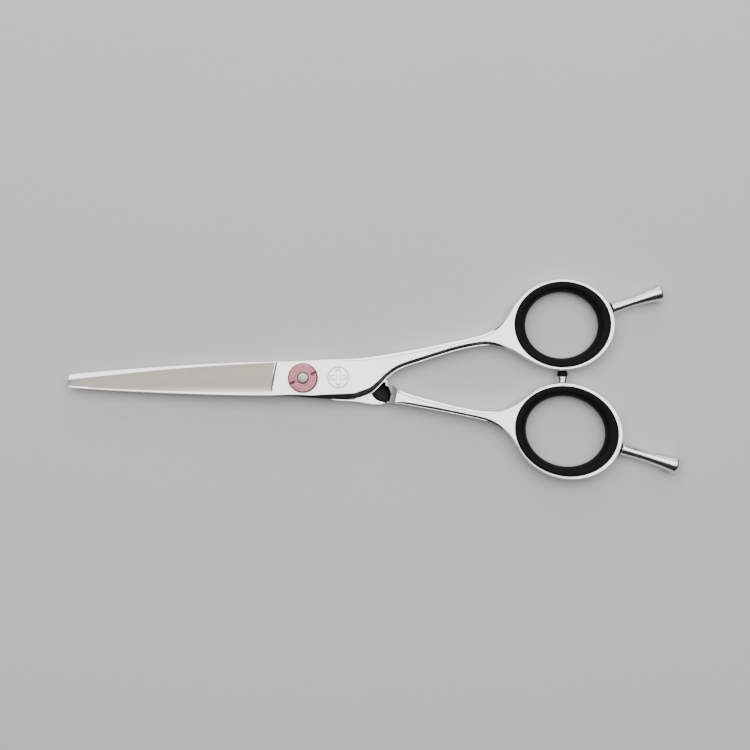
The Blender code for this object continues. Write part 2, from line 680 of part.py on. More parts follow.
# Assembly -------------------------------------------------------------------------------------------
def build_halves(front_pivot):
    front = Half(FRONT_SPINE, FRONT_EDGE, FRONT_LOWER, FRONT_UPPER, UPPER_OUTER, UPPER_INNER,
                 FRONT_LOWER_BEVEL, UPPER_BEVEL, True)
    back = Half(BACK_SPINE, BACK_EDGE, BACK_LOWER, BACK_UPPER, LOWER_OUTER, LOWER_INNER,
                BACK_LOWER_BEVEL, UPPER_BEVEL, False)
    front_blade = add_object("front_blade", half_body(front), surfaces["steel"], front_pivot)
    back_blade = add_object("back_blade", half_body(back), surfaces["steel"])
    add_cutter("front_step_cutter", step_cutter(front), front_blade)
    add_cutter("back_step_cutter", step_cutter(back), back_blade)
    add_cutter("front_race_cutter", ball_race_cutter(front), front_blade)
    add_cutter("back_race_cutter", ball_race_cutter(back), back_blade)
    add_cutter("scoop_cutter", scoop_cutter(), back_blade)
    add_cutter("bush_hole_cutter", bar(BUSH_R + FIT_GAP, 2, 7), front_blade)
    add_cutter("key_hole_cutter", keyed_prism(NECK_R + FIT_GAP, NECK_FLAT + FIT_GAP, 0.5, 3), back_blade)
    add_cutter("head_recess_cutter", bar(HEAD_R + FIT_GAP, -1, HEAD_HIGH_Z + FIT_GAP), back_blade)
    upper_hole = stub_hole(rest_point(UPPER_REST, 0), direction(UPPER_REST[2]), 1.6)
    lower_hole = stub_hole(rest_point(LOWER_REST, 0), direction(LOWER_REST[2]), 1.8)
    bumper_hole = stub_hole((BUMPER_X, BUMPER_FOOT_Y, RIDE_Z), (0, 1, 0), 1.6)
    add_cutter("upper_rest_hole", upper_hole, front_blade)
    add_cutter("lower_rest_hole", lower_hole, back_blade)
    add_cutter("bumper_hole", bumper_hole, back_blade)


def build_dial(dial_pivot):
    dial = add_object("tension_dial", dial_body(), surfaces["dial"], dial_pivot)
    for side in range(2):
        add_cutter(f"notch_cutter_{side + 1}", notch_cutter(side), dial)
    hub = ring_washer(HUB_BORE_R, HUB_R, DIAL_POCKET_Z, DIAL_HIGH_Z + 0.05)
    add_object("dial_hub", hub, surfaces["dial"], dial_pivot)


def build_bearing(bearing_pivot):
    add_object("bearing_cage", cage_body(), surfaces["brass"], bearing_pivot)
    for n in range(BALLS):
        origin = ball_place(n)
        add_object(f"bearing_ball_{n + 1:02d}", ball_body(n), surfaces["steel"], bearing_pivot, origin)


def build_pivot_pieces(front_pivot):
    pivot_screw_body()
    bush = ring_washer(BUSH_BORE_R, BUSH_R, RIDE_Z + RIDE_GAP + RACE_DEEP + 0.05, HANDLE_HIGH_Z - 0.02)
    add_object("pivot_bush", bush, surfaces["nylon"], front_pivot)
    click_plate = ring_washer(SPRING_IN_R, CLICK_PLATE_R, HANDLE_HIGH_Z + 0.05, DIAL_LOW_Z - FIT_GAP)
    add_object("click_plate", click_plate, surfaces["brass"])
    add_object("tension_spring", spring_body(), surfaces["steel"])


def build_ring_pieces(front_pivot):
    add_object("upper_finger_insert", insert_body(UPPER_INNER, UPPER_WAIST), surfaces["rubber"], front_pivot)
    add_object("lower_finger_insert", insert_body(LOWER_INNER, LOWER_WAIST), surfaces["rubber"])
    add_object("upper_finger_rest", rest_body(UPPER_REST, 0.7), surfaces["satin"], front_pivot)
    add_object("lower_finger_rest", rest_body(LOWER_REST, 0.7), surfaces["satin"])
    add_object("upper_rest_washer", washer_body(UPPER_REST), surfaces["rubber"], front_pivot)
    add_object("lower_rest_washer", washer_body(LOWER_REST), surfaces["rubber"])
    add_object("bumper_screw", bumper_screw_body(), surfaces["steel"])
    add_object("bumper_tip", bumper_tip_body(), surfaces["rubber"])


for old in list(bpy.data.objects):
    bpy.data.objects.remove(old)
surfaces = {
    "steel": material("polished_steel", (0.82, 0.82, 0.80), 0.12, 1.0),
    "satin": material("satin_steel", (0.70, 0.69, 0.67), 0.3, 1.0),
    "dial": material("pink_anodised", (0.60, 0.37, 0.36), 0.3, 1.0),
    "rubber": material("black_rubber", (0.012, 0.012, 0.013), 0.55, 0.0),
    "brass": material("brass", (0.72, 0.53, 0.25), 0.3, 1.0),
    "nylon": material("white_nylon", (0.80, 0.80, 0.77), 0.45, 0.0),
}
front_pivot = add_pivot("front_pivot", (0, 0, RIDE_Z))
bearing_pivot = add_pivot("bearing_pivot", (0, 0, RIDE_Z))
dial_pivot = add_pivot("dial_pivot", (0, 0, DIAL_HIGH_Z))
build_halves(front_pivot)
build_dial(dial_pivot)
build_bearing(bearing_pivot)
build_pivot_pieces(front_pivot)
build_ring_pieces(front_pivot)
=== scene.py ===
"""The looks of the hair cutting shears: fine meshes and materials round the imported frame.

Shapes are worked out in millimetres in the frame's own axes: origin on the pivot's axis at table height,
+X along the handles, +Y towards the upper ring, +Z up. MM turns them into Blender's metres.
"""

from math import atan2, cos, pi, radians, sin, sqrt

import bmesh
import bpy
from mathutils import Matrix, Vector


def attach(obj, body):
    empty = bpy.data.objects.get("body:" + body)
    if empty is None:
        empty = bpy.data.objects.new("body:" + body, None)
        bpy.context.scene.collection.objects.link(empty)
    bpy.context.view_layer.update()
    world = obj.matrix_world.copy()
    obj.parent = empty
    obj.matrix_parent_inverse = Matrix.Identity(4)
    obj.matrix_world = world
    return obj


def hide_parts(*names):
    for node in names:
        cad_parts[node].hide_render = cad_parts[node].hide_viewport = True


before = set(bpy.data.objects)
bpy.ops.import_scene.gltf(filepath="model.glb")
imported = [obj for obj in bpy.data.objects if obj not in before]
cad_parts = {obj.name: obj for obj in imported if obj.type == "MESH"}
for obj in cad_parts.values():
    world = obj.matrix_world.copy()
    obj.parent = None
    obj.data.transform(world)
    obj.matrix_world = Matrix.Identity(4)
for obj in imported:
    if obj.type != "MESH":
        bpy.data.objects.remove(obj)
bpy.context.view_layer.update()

MM = 0.001

# Sizes that the CAD settled ---------------------------------------------------------------------------
RIDE_Z = 2.5                # height of the plane in which the two halves meet
RIDE_GAP = 0.05             # from that plane to each half's ride face
FULL = 2.25                 # from the ride plane to the outer face of either half
JOIN_X = 6.0                # where the blade's stations end and the handle's outline starts
GRIND_X = -7.2              # where the flat pivot area ends and the ground blade starts
TIP_X = -59.2
TIP_ROUND = 0.65            # length of the rounding at each blade's tip
TIP_BLUNT = 0.6             # share of the blade's width that the blunt end keeps
STEP_R = 20.8               # from the pivot to the foot of the step where a handle gets thicker
STEP_FILLET = 3.1
SCOOP_CENTRE = (19.3, -3.4, RIDE_Z + 0.35)      # of the hollow in the back half's ride face
SCOOP_SIZE = (3.1, 2.3, 1.3)
SCOOP_TURN = radians(-50)
BLADE_SPINE_AT_TIP = 1.0    # blade thickness at the spine, near the tip
EDGE_THICK = 0.28           # and at the cutting edge
HOLLOW = 0.012              # depth of the hollow ground into each ride face, as a share of its width
RACE_R = 3.72               # ball race's recess in each ride face
RACE_DEEP = 0.47
BUSH_HOLE_R = 2.18
HEAD_RECESS_R = 3.46
HEAD_RECESS_TOP_Z = 0.91
NECK_HOLE_R = 2.25

UPPER_OUTER = (65.0, 13.39, 13.15, 11.45, 0.0)      # centre x, y, half length, half width, tilt
UPPER_INNER = (65.0, 13.39, 11.98, 10.62, 0.0)
LOWER_OUTER = (66.35, -13.36, 13.95, 12.0, -16.0)
LOWER_INNER = (66.05, -13.37, 12.98, 11.11, -14.5)
UPPER_WAIST = (65.0, 13.3, 9.2, 8.35, 0.0)
LOWER_WAIST = (66.0, -13.45, 10.1, 8.8, -14.5)
INSERT_GAP = 0.06           # between a ring and its rubber insert
INSERT_FLARE = 1.0          # how much wider its hole is at its two faces
INSERT_LIP = 0.3
INSERT_HIGH_Z = 5.0

# Tang: base x, base y, direction in degrees, length, then foot, waist and end radii.
UPPER_REST = (77.4, 17.47, 18.0, 13.8, 1.5, 1.28, 2.12)
LOWER_REST = (79.75, -17.68, -16.8, 15.4, 1.55, 1.38, 2.22)
STUB_R = 0.75
STUB_LONG = 0.7
STUB_CLEAR = 0.07
FOOT_AT = 0.34              # from a tang's base point to its foot, past the washer
FOOT_ROUND = 0.15
BUMPER_X = 65.2
BUMPER_FOOT_Y = -1.12
BARREL_R = 1.3
BARREL_TOP_Y = -0.28
COLLAR_R = 1.55
COLLAR_TOP_Y = 0.34
BUMPER_TIP_R = 1.3
BUMPER_TIP_SIDE_Y = 1.26    # where the rubber tip's side ends and its dome starts
PEG_R = 0.55

DIAL_R = 3.75
DIAL_LOW_Z = 5.06
DIAL_HIGH_Z = 6.3
DIAL_BORE_R = 1.95
DIAL_POCKET_R = 3.0
DIAL_POCKET_Z = 5.42
NOTCH_TURN = radians(25)
NOTCH_WIDE = 0.6
NOTCH_FROM = 2.17           # from the axis to the notch's inner end
NOTCH_DEEP = 0.55
HUB_R = 1.89
HUB_BORE_R = 1.5
STUD_R = 1.38
STUD_DOME_Z = 6.1           # where the stud's domed end starts

FRONT_SPINE = ((-59.6, -2.42), (-51.1, -3.03), (-36.0, -3.81), (-20.9, -4.3), (-7.0, -4.5),
               (-2.0, -4.62), (2.0, -4.95), (6.0, -5.25))
FRONT_EDGE = ((-59.6, -0.45), (-50.8, 0.53), (-36.0, 2.05), (-20.9, 3.15), (-7.8, 3.9), (6.0, 4.6))
BACK_SPINE = ((-59.6, 0.85), (-51.1, 1.65), (-36.0, 2.83), (-20.9, 3.73), (-7.0, 4.1), (6.0, 4.0))
BACK_EDGE = ((-59.6, -0.9), (-50.8, -1.6), (-36.0, -2.5), (-20.9, -3.3), (-7.8, -3.85), (0.5, -4.4),
             (6.0, -5.15))
FRONT_LOWER = ((6.0, -5.25), (9.0, -5.4), (11.8, -5.45), (14.1, -5.2), (17.0, -3.94), (19.3, -1.85),
               (21.3, 0.25), (24.3, 2.34), (29.35, 4.12), (39.4, 7.16), (46.9, 8.25), (52.0, 7.1),
               (55.7, 4.9))
FRONT_UPPER = ((6.0, 4.6), (14.3, 4.95), (24.3, 6.41), (34.4, 8.39), (44.4, 10.63), (49.45, 13.39),
               (53.2, 18.7))
BACK_LOWER = ((6.0, -5.15), (8.5, -5.6), (13.0, -5.9), (18.0, -6.6), (23.1, -6.3), (29.35, -7.31),
              (39.4, -9.25), (46.9, -11.06), (51.0, -13.6), (53.45, -16.95))
BACK_UPPER = ((6.0, 4.1), (12.0, 3.5), (16.8, 2.3), (19.3, 0.7), (21.6, -1.15), (24.3, -3.1),
              (29.35, -4.85), (39.4, -7.36), (46.9, -8.44), (52.0, -7.29), (56.5, -4.27))

# Width of the bevel beside the handles' flat faces, as points of a smooth curve of width against x.
NARROW = 0.12
FRONT_LOWER_BEVEL = ((-8.0, NARROW), (2.0, 0.6), (6.0, 1.15), (12.0, 1.6), (15.5, 1.75), (19.3, 1.24),
                     (24.0, 1.05), (48.0, 1.0))
UPPER_BEVEL = ((-8.0, NARROW), (6.0, NARROW), (18.0, 0.75), (48.0, 0.75))
BACK_LOWER_BEVEL = ((-8.0, NARROW), (20.0, NARROW), (27.0, 0.65), (48.0, 0.65))
BEVEL_STEEP = 0.62          # depth of a bevel for each millimetre of its width
# A bevel is (width, depth, hollow), where hollow 0 is rounded outwards and 1 is scooped with a flat lip.
RICASSO_HOLLOW = 0.35       # of the lower sides beside the pivot
FLANK_HOLLOW = 1.0          # and along the handles
CROWN_HOLLOW = 0.4          # of the upper sides
TINY_BEVEL = (0.03, 0.03, 0.5)
RING_OUTER_BEVEL = (0.24, 0.26, 0.2)
HOLE_BEVEL = (0.16, 0.2, 0.2)
POLISHED_RIM = 0.5          # width of the bright rim beside the spine of a ground face
HOLD = 0.05                 # width of the flat rim that keeps a bevel's shading off a flat face

# Fineness -----------------------------------------------------------------------------------------------
STEPS_PER_SPAN = 14
RING_STEPS = 168
ACROSS = 14
BEVEL_STEPS = 8
TURN_STEPS = 96


# Curves and outlines --------------------------------------------------------------------------------
def curve_point(points, position):
    """A point of the Catmull-Rom curve through the points, where position 1.5 is half way from 1 to 2."""
    last = len(points) - 1
    i = min(int(position), last - 1)
    t = position - i
    p1, p2 = Vector(points[i]), Vector(points[i + 1])
    p0 = Vector(points[i - 1]) if i > 0 else 2 * p1 - p2
    p3 = Vector(points[i + 2]) if i + 2 <= last else 2 * p2 - p1
    return 0.5 * (2 * p1 + (p2 - p0) * t + (2 * p0 - 5 * p1 + 4 * p2 - p3) * t * t
                  + (3 * p1 - p0 - 3 * p2 + p3) * t ** 3)


def smooth_path(points, steps=STEPS_PER_SPAN):
    count = (len(points) - 1) * steps
    return [curve_point(points, n / steps) for n in range(count + 1)]


def height_at(path, x):
    """The path's y where it passes x."""
    for a, b in zip(path, path[1:]):
        if a.x <= x <= b.x:
            return a.y + (b.y - a.y) * (x - a.x) / (b.x - a.x)
    return path[-1].y


def ellipse_point(ring, angle, grow=0.0):
    cx, cy, half_long, half_wide, tilt = ring
    local = Vector(((half_long + grow) * cos(angle), (half_wide + grow) * sin(angle)))
    local.rotate(Matrix.Rotation(radians(tilt), 2))
    return Vector((cx, cy)) + local


def ellipse_angle(ring, point):
    cx, cy, half_long, half_wide, tilt = ring
    local = Vector(point) - Vector((cx, cy))
    local.rotate(Matrix.Rotation(radians(-tilt), 2))
    return atan2(local.y / half_wide, local.x / half_long)


def run_into(points, ring, towards):
    """The smooth curve through the points and on to the ring, and the ring's angle where it arrives. A guide
    point further round the ring makes it arrive along the ring."""
    turn = radians(10) * towards
    arrival = ellipse_angle(ring, points[-1]) + turn
    guided = points + (tuple(ellipse_point(ring, arrival)), tuple(ellipse_point(ring, arrival + turn)))
    return smooth_path(guided)[:-STEPS_PER_SPAN], arrival


def handle_path(lower, upper, ring):
    """The handle's outline from the join along its lower side, round the ring and back on top."""
    lower_path, start = run_into(lower, ring, 1)
    upper_path, end = run_into(upper, ring, -1)
    if end < start:
        end += 2 * pi
    arc = [ellipse_point(ring, start + (end - start) * n / RING_STEPS) for n in range(RING_STEPS + 1)]
    path = lower_path[:-1] + arc + upper_path[-2::-1]
    return path, len(lower_path) - 1, len(lower_path) + len(arc) - 2


def inward_normals(path):
    """Unit normals to the left of a path that runs anticlockwise, square to X at its two ends."""
    normals = []
    for before, after in zip(path[:1] + path[:-1], path[1:] + path[-1:]):
        along = (after - before).normalized()
        normals.append(Vector((-along.y, along.x)))
    normals[0] = Vector((0, 1))
    normals[-1] = Vector((0, -1))
    return normals


def ease(t):
    t = min(max(t, 0.0), 1.0)
    return t * t * (3 - 2 * t)


def mix(a, b, share):
    return tuple(x + (y - x) * share for x, y in zip(a, b))


# Meshes ---------------------------------------------------------------------------------------------
def bridge(bm, a, b, closed=True):
    last = len(a) if closed else len(a) - 1
    for n in range(last):
        m = (n + 1) % len(a)
        bm.faces.new((a[n], a[m], b[m], b[n]))


def fill(bm, *loops):
    edges = []
    for loop in loops:
        for a, b in zip(loop, loop[1:] + loop[:1]):
            edges.append(bm.edges.get((a, b)) or bm.edges.new((a, b)))
    bmesh.ops.triangle_fill(bm, use_beauty=True, use_dissolve=False, edges=edges)


def turned(profile, steps=TURN_STEPS):
    """A closed solid turned round Z from (radius, height) pairs; radius 0 at an end closes it there."""
    bm = bmesh.new()
    rings = []
    for radius, height in profile:
        if radius == 0:
            rings.append([bm.verts.new((0, 0, height))])
            continue
        turn = [2 * pi * n / steps for n in range(steps)]
        rings.append([bm.verts.new((radius * cos(a), radius * sin(a), height)) for a in turn])
    pairs = list(zip(rings, rings[1:]))
    if profile[0][0] > 0:
        pairs.append((rings[-1], rings[0]))
    for a, b in pairs:
        for n in range(steps):
            m = (n + 1) % steps
            corners = [a[n % len(a)], a[m % len(a)], b[m % len(b)], b[n % len(b)]]
            bm.faces.new(list(dict.fromkeys(corners)))
    bmesh.ops.recalc_face_normals(bm, faces=bm.faces)
    return bm


def add_object(name, bm, sharp=30):
    """Turns a bmesh in millimetres into an object in metres."""
    bmesh.ops.scale(bm, vec=(MM, MM, MM), verts=bm.verts)
    mesh = bpy.data.meshes.new(name)
    bm.to_mesh(mesh)
    bm.free()
    mesh.shade_smooth()
    mesh.set_sharp_from_angle(angle=radians(sharp))
    made = bpy.data.objects.new(name, mesh)
    bpy.context.scene.collection.objects.link(made)
    return made


def cut(target, *cutters, sharp=30):
    """Takes each cutter's bmesh away from the target and keeps the result as its mesh."""
    helpers = []
    for n, bm in enumerate(cutters):
        helper = add_object(f"{target.name}_cutter_{n}", bm)
        modifier = target.modifiers.new(helper.name, "BOOLEAN")
        modifier.solver = "EXACT"
        modifier.object = helper
        helpers.append(helper)
    apply_modifiers(target)
    for helper in helpers:
        bpy.data.objects.remove(helper)
    target.data.shade_smooth()
    target.data.set_sharp_from_angle(angle=radians(sharp))


def apply_modifiers(target):
    graph = bpy.context.evaluated_depsgraph_get()
    mesh = bpy.data.meshes.new_from_object(target.evaluated_get(graph), depsgraph=graph)
    target.modifiers.clear()
    target.data = mesh


def lying(x, y, turn, scale=1.0):
    """The matrix that lays a shape turned round Z down at mid height, pointing turn degrees from +X."""
    angle = radians(turn)
    along, across = Vector((cos(angle), sin(angle), 0)), Vector((sin(angle), -cos(angle), 0))
    axes = Matrix((Vector((0, 0, 1)), across, along)).transposed().to_4x4()
    return Matrix.Translation(Vector((x, y, RIDE_Z)) * scale) @ axes


def finish_piece(piece, body, slot, material, *nodes):
    if material and not piece.data.materials:
        piece.data.materials.append(material)
    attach(piece, body)
    if nodes:
        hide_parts(*nodes)


# Material building ------------------------------------------------------------------------------------
class Look:
    """A Principled material with short calls for the nodes that feed it."""

    def __init__(self, name, colour, roughness, metallic=0.0):
        self.material = bpy.data.materials.new(name)
        self.material.use_nodes = True
        self.nodes = self.material.node_tree.nodes
        self.links = self.material.node_tree.links
        self.shader = self.nodes["Principled BSDF"]
        self.set("Base Color", (*colour, 1))
        self.set("Roughness", roughness)
        self.set("Metallic", metallic)
        self.height = None

    def set(self, socket, value):
        self.shader.inputs[socket].default_value = value

    def link(self, output, socket):
        self.links.new(output, self.shader.inputs[socket])

    def node(self, kind, **settings):
        made = self.nodes.new(kind)
        for key, value in settings.items():
            setattr(made, key, value)
        return made

    def coordinates(self, scale):
        mapping = self.node("ShaderNodeMapping")
        mapping.inputs["Scale"].default_value = scale
        source = self.node("ShaderNodeTexCoord")
        self.links.new(source.outputs["Object"], mapping.inputs["Vector"])
        return mapping.outputs["Vector"]

    def place(self):
        """The x, y and z of the point being shaded, in the piece's own axes and metres."""
        source = self.node("ShaderNodeTexCoord")
        parts = self.node("ShaderNodeSeparateXYZ")
        self.links.new(source.outputs["Object"], parts.inputs["Vector"])
        return tuple(parts.outputs)

    def distance(self, x, y):
        return self.math("SQRT", self.math("ADD", self.math("MULTIPLY", x, x), self.math("MULTIPLY", y, y)))

    def noise(self, scale, detail=4.0, roughness=0.6):
        """Noise whose features are 1/scale metres long along each axis."""
        made = self.node("ShaderNodeTexNoise")
        made.inputs["Scale"].default_value = 1.0
        made.inputs["Detail"].default_value = detail
        made.inputs["Roughness"].default_value = roughness
        self.links.new(self.coordinates(scale), made.inputs["Vector"])
        return made.outputs["Fac"]

    def ranged(self, value, low, high, from_low=0.3, from_high=0.7):
        made = self.node("ShaderNodeMapRange")
        self.links.new(value, made.inputs["Value"])
        limits = {"From Min": from_low, "From Max": from_high, "To Min": low, "To Max": high}
        for socket, number in limits.items():
            made.inputs[socket].default_value = number
        return made.outputs["Result"]

    def math(self, operation, a, b=0.0, c=0.0):
        made = self.node("ShaderNodeMath", operation=operation)
        for socket, value in zip(made.inputs, (a, b, c)):
            if isinstance(value, (int, float)):
                socket.default_value = value
            else:
                self.links.new(value, socket)
        return made.outputs["Value"]

    def blend_colours(self, share, first, second):
        made = self.node("ShaderNodeMix", data_type="RGBA")
        for socket, value in ((made.inputs[6], first), (made.inputs[7], second)):
            if isinstance(value, tuple):
                socket.default_value = (*value, 1)
            else:
                self.links.new(value, socket)
        self.links.new(share, made.inputs[0])
        return made.outputs[2]

    def bump(self, height, distance, strength=1.0):
        """Adds a bump; later calls go on top of earlier ones."""
        made = self.node("ShaderNodeBump")
        made.inputs["Strength"].default_value = strength
        made.inputs["Distance"].default_value = distance
        self.links.new(height, made.inputs["Height"])
        if self.height:
            self.links.new(self.height, made.inputs["Normal"])
        self.height = made.outputs["Normal"]
        self.link(self.height, "Normal")


def polished_steel(name="polished_steel", metallic=0.86):
    """Mirror-polished steel: soft wiping marks, and hair-fine scratches along the piece."""
    colour, rough = (0.92, 0.92, 0.905), (0.09, 0.2)
    look = Look(name, colour, rough[0], metallic)
    wipes = look.noise((160, 420, 420), 5)
    look.link(look.ranged(wipes, *rough), "Roughness")
    clouds = look.noise((90, 130, 130), 3)
    darker = tuple(0.93 * c for c in colour)
    look.link(look.blend_colours(look.ranged(clouds, 0, 1), colour, darker), "Base Color")
    look.bump(look.noise((350, 9000, 9000), 3), 0.000012, 0.35)
    return look


def marked_steel():
    """Polished steel with a small etched ornament beside the dial: a ring round a four-petal rosette."""
    look = polished_steel("marked_steel")
    centre_x, centre_y, radius, line = 0.0088, 0.0001, 0.0026, 0.00011
    x, y, _ = look.place()
    x, y = look.math("SUBTRACT", x, centre_x), look.math("SUBTRACT", y, centre_y)
    away = look.distance(x, y)
    angle = look.math("ARCTAN2", y, x)
    petal = look.math("ABSOLUTE", look.math("COSINE", look.math("MULTIPLY", angle, 2.0)))
    petal_reach = look.math("MULTIPLY", petal, 0.8 * radius)
    petal_edge = look.math("ABSOLUTE", look.math("SUBTRACT", away, petal_reach))
    ring_edge = look.math("ABSOLUTE", look.math("SUBTRACT", away, radius))
    nearest = look.math("MINIMUM", petal_edge, ring_edge)
    etched = look.ranged(nearest, 1, 0, line, 1.6 * line)
    base = look.shader.inputs["Base Color"].links[0].from_socket
    rough = look.shader.inputs["Roughness"].links[0].from_socket
    look.link(look.blend_colours(etched, base, (0.60, 0.60, 0.58)), "Base Color")
    look.link(look.math("ADD", rough, look.math("MULTIPLY", etched, 0.3)), "Roughness")
    look.bump(etched, -0.00003, 0.6)
    return look.material


def blasted_steel(name, colour, rough):
    """Steel with a fine random grain: the stud's end, and near-black in the hollow beside the handle, where
    the near-black is painted shade standing in for the dark surroundings mirrored in the hollow.
    """
    look = Look(name, colour, rough, 1.0)
    grain = look.noise((5200, 5200, 5200), 5, 0.7)
    darker = tuple(0.45 * c for c in colour)
    look.link(look.blend_colours(look.ranged(grain, 0, 1), colour, darker), "Base Color")
    look.link(look.ranged(grain, rough - 0.08, rough + 0.12), "Roughness")
    look.bump(grain, 0.00012, 0.9)
    return look.material


def ground_steel(name, spine_side):
    """The blades' satin outer faces: dense fine grinding lines along the blade, and a painted highlight, a
    paler base colour standing in for the lamps' reflection, that grows towards the spine (on the side of Y
    given by the sign of spine_side) and towards the pivot."""
    colour, painted_highlight = (0.305, 0.283, 0.24), (0.85, 0.83, 0.78)
    look = Look(name, colour, 0.3, 0.75)
    lines = look.noise((220, 14000, 14000), 4, 0.7)
    look.link(look.ranged(lines, 0.24, 0.38), "Roughness")
    tint = look.blend_colours(look.ranged(look.noise((60, 300, 300), 3), 0, 1), colour, (0.275, 0.26, 0.225))
    x, y, _ = look.place()
    near_spine = look.ranged(look.math("MULTIPLY", y, spine_side), 0, 1, 0.0018, 0.0040)
    near_pivot = look.ranged(x, 0, 1, -0.052, -0.018)
    # Painted highlight: the base colour turns pale towards the spine and the pivot, standing in for the
    # lamps' reflection there.
    share = look.math("MULTIPLY", look.math("POWER", near_spine, 1.8), near_pivot)
    look.link(look.blend_colours(share, tint, painted_highlight), "Base Color")
    look.bump(lines, 0.00002, 0.5)
    return look.material


def satin_turned():
    """Tangs: fine lathe rings round the piece's own Z."""
    colour = (0.92, 0.91, 0.88)
    look = Look("satin_turned", colour, 0.22, 1.0)
    rings = look.noise((60, 60, 14000), 3, 0.7)
    look.link(look.ranged(rings, 0.17, 0.3), "Roughness")
    look.link(look.blend_colours(look.ranged(rings, 0, 1), colour, (0.80, 0.79, 0.76)), "Base Color")
    look.bump(rings, 0.00003, 0.6)
    return look.material


def pink_anodised():
    """Anodised aluminium: fine turning rings, slight mottling, a row of faint raised ticks round the top, and
    metal showing pale on the worn rim."""
    colour, dark = (0.60, 0.27, 0.28), (0.46, 0.18, 0.20)
    rim_at, ticks_at = (0.0035, 0.0038), 0.00272
    look = Look("pink_anodised", colour, 0.32, 0.85)
    mottle = look.noise((2600, 2600, 2600), 5)
    tint = look.blend_colours(look.ranged(mottle, 0, 1), colour, dark)
    x, y, _ = look.place()
    away = look.distance(x, y)
    dyed = look.blend_colours(look.ranged(away, 0, 0.5, *rim_at), tint, (0.66, 0.45, 0.44))
    band = look.ranged(look.math("ABSOLUTE", look.math("SUBTRACT", away, ticks_at)), 1, 0, 0.00026, 0.00036)
    ticks = look.math("COSINE", look.math("MULTIPLY", look.math("ARCTAN2", y, x), 26.0))
    raised = look.math("MULTIPLY", band, look.ranged(ticks, 0, 1, 0.1, 0.5))
    look.link(look.blend_colours(look.math("MULTIPLY", raised, 0.55), dyed, (0.38, 0.12, 0.14)), "Base Color")
    look.link(look.ranged(mottle, 0.26, 0.42), "Roughness")
    look.bump(raised, 0.00015, 0.9)
    look.bump(look.noise((5200, 5200, 5200), 3), 0.00004, 0.6)
    return look.material


def slot_painted_shade():
    """The floors of the dial's two slots: painted shade, a dark red standing in for the shade down in the
    narrow slots.
    """
    # Painted shade for the slot floors, with a random mottle.
    colour = (0.10, 0.028, 0.03)
    look = Look("slot_painted_shade", colour, 0.5, 0.6)
    mottle = look.noise((2600, 2600, 2600), 4)
    look.link(look.blend_colours(look.ranged(mottle, 0, 1), colour, (0.16, 0.05, 0.05)), "Base Color")
    look.link(look.ranged(mottle, 0.42, 0.6), "Roughness")
    return look.material


def black_rubber():
    look = Look("black_rubber", (0.012, 0.012, 0.013), 0.55)
    look.set("Specular IOR Level", 0.08)
    dark, darkest = (0.009, 0.009, 0.01), (0.004, 0.004, 0.0045)
    grain = look.noise((2600, 2600, 2600), 4)
    look.link(look.ranged(grain, 0.48, 0.66), "Roughness")
    look.link(look.blend_colours(look.ranged(grain, 0, 1), darkest, dark), "Base Color")
    look.bump(grain, 0.00004, 0.5)
    return look.material


def brass():
    colour = (0.75, 0.56, 0.28)
    look = Look("brass", colour, 0.3, 1.0)
    stains = look.noise((900, 900, 900), 4)
    look.link(look.blend_colours(look.ranged(stains, 0, 1), colour, (0.62, 0.43, 0.2)), "Base Color")
    look.link(look.ranged(stains, 0.22, 0.4), "Roughness")
    look.bump(look.noise((6000, 6000, 6000), 3), 0.00001, 0.5)
    return look.material


def white_nylon():
    look = Look("white_nylon", (0.8, 0.8, 0.77), 0.45)
    look.set("Subsurface Weight", 0.2)
    look.set("Subsurface Radius", (0.001, 0.001, 0.001))
    grain = look.noise((3000, 3000, 3000), 3)
    look.link(look.ranged(grain, 0.38, 0.55), "Roughness")
    look.bump(grain, 0.00002, 0.5)
    return look.material


def pale_floor():
    look = Look("pale_floor", (0.66, 0.66, 0.65), 0.75)
    look.link(look.ranged(look.noise((30, 30, 30), 3), 0.7, 0.82), "Roughness")
    return look.material


# The two halves -----------------------------------------------------------------------------------------
class Half:
    def __init__(self, spine, edge, lower, upper, outer, inner, lower_bevel, is_front):
        self.spine, self.edge = smooth_path(spine), smooth_path(edge)
        self.lower, self.upper, self.outer, self.inner = lower, upper, outer, inner
        self.lower_width, self.upper_width = smooth_path(lower_bevel), smooth_path(UPPER_BEVEL)
        self.is_front = is_front

    def bevel(self, x, is_lower):
        """The bevel beside the flat face at this x, on the lower or the upper side."""
        width = height_at(self.lower_width if is_lower else self.upper_width, x)
        hollow = CROWN_HOLLOW
        if is_lower:
            hollow = RICASSO_HOLLOW + (FLANK_HOLLOW - RICASSO_HOLLOW) * ease((x - 9) / 5)
        return width, BEVEL_STEEP * width, hollow

    def height(self, from_ride):
        return RIDE_Z + from_ride if self.is_front else RIDE_Z - from_ride


def bevel_depth(share, hollow):
    """How deep a bevel has gone at this share of its width from the flat face."""
    straight, level = 0.55, 0.8
    rounded = share ** 2
    turning = min(max(share - straight, 0), level - straight)
    hollowed = min(share, straight) + turning - turning * turning / (2 * (level - straight))
    hollowed /= (straight + level) / 2
    return rounded + (hollowed - rounded) * hollow


def side_profile(near, near_bevel, far, far_bevel):
    """(inset, height) pairs up a side, from the ride-face end to the outer face, with a flat rim at each."""
    shares = [n / BEVEL_STEPS for n in range(BEVEL_STEPS + 1)]
    points = [(near_bevel[0] + HOLD, near)]
    for share in shares:
        points.append((near_bevel[0] * (1 - share), near + near_bevel[1] * bevel_depth(share, near_bevel[2])))
    for share in reversed(shares):
        points.append((far_bevel[0] * (1 - share), far - far_bevel[1] * bevel_depth(share, far_bevel[2])))
    points.append((far_bevel[0] + HOLD, far))
    return points


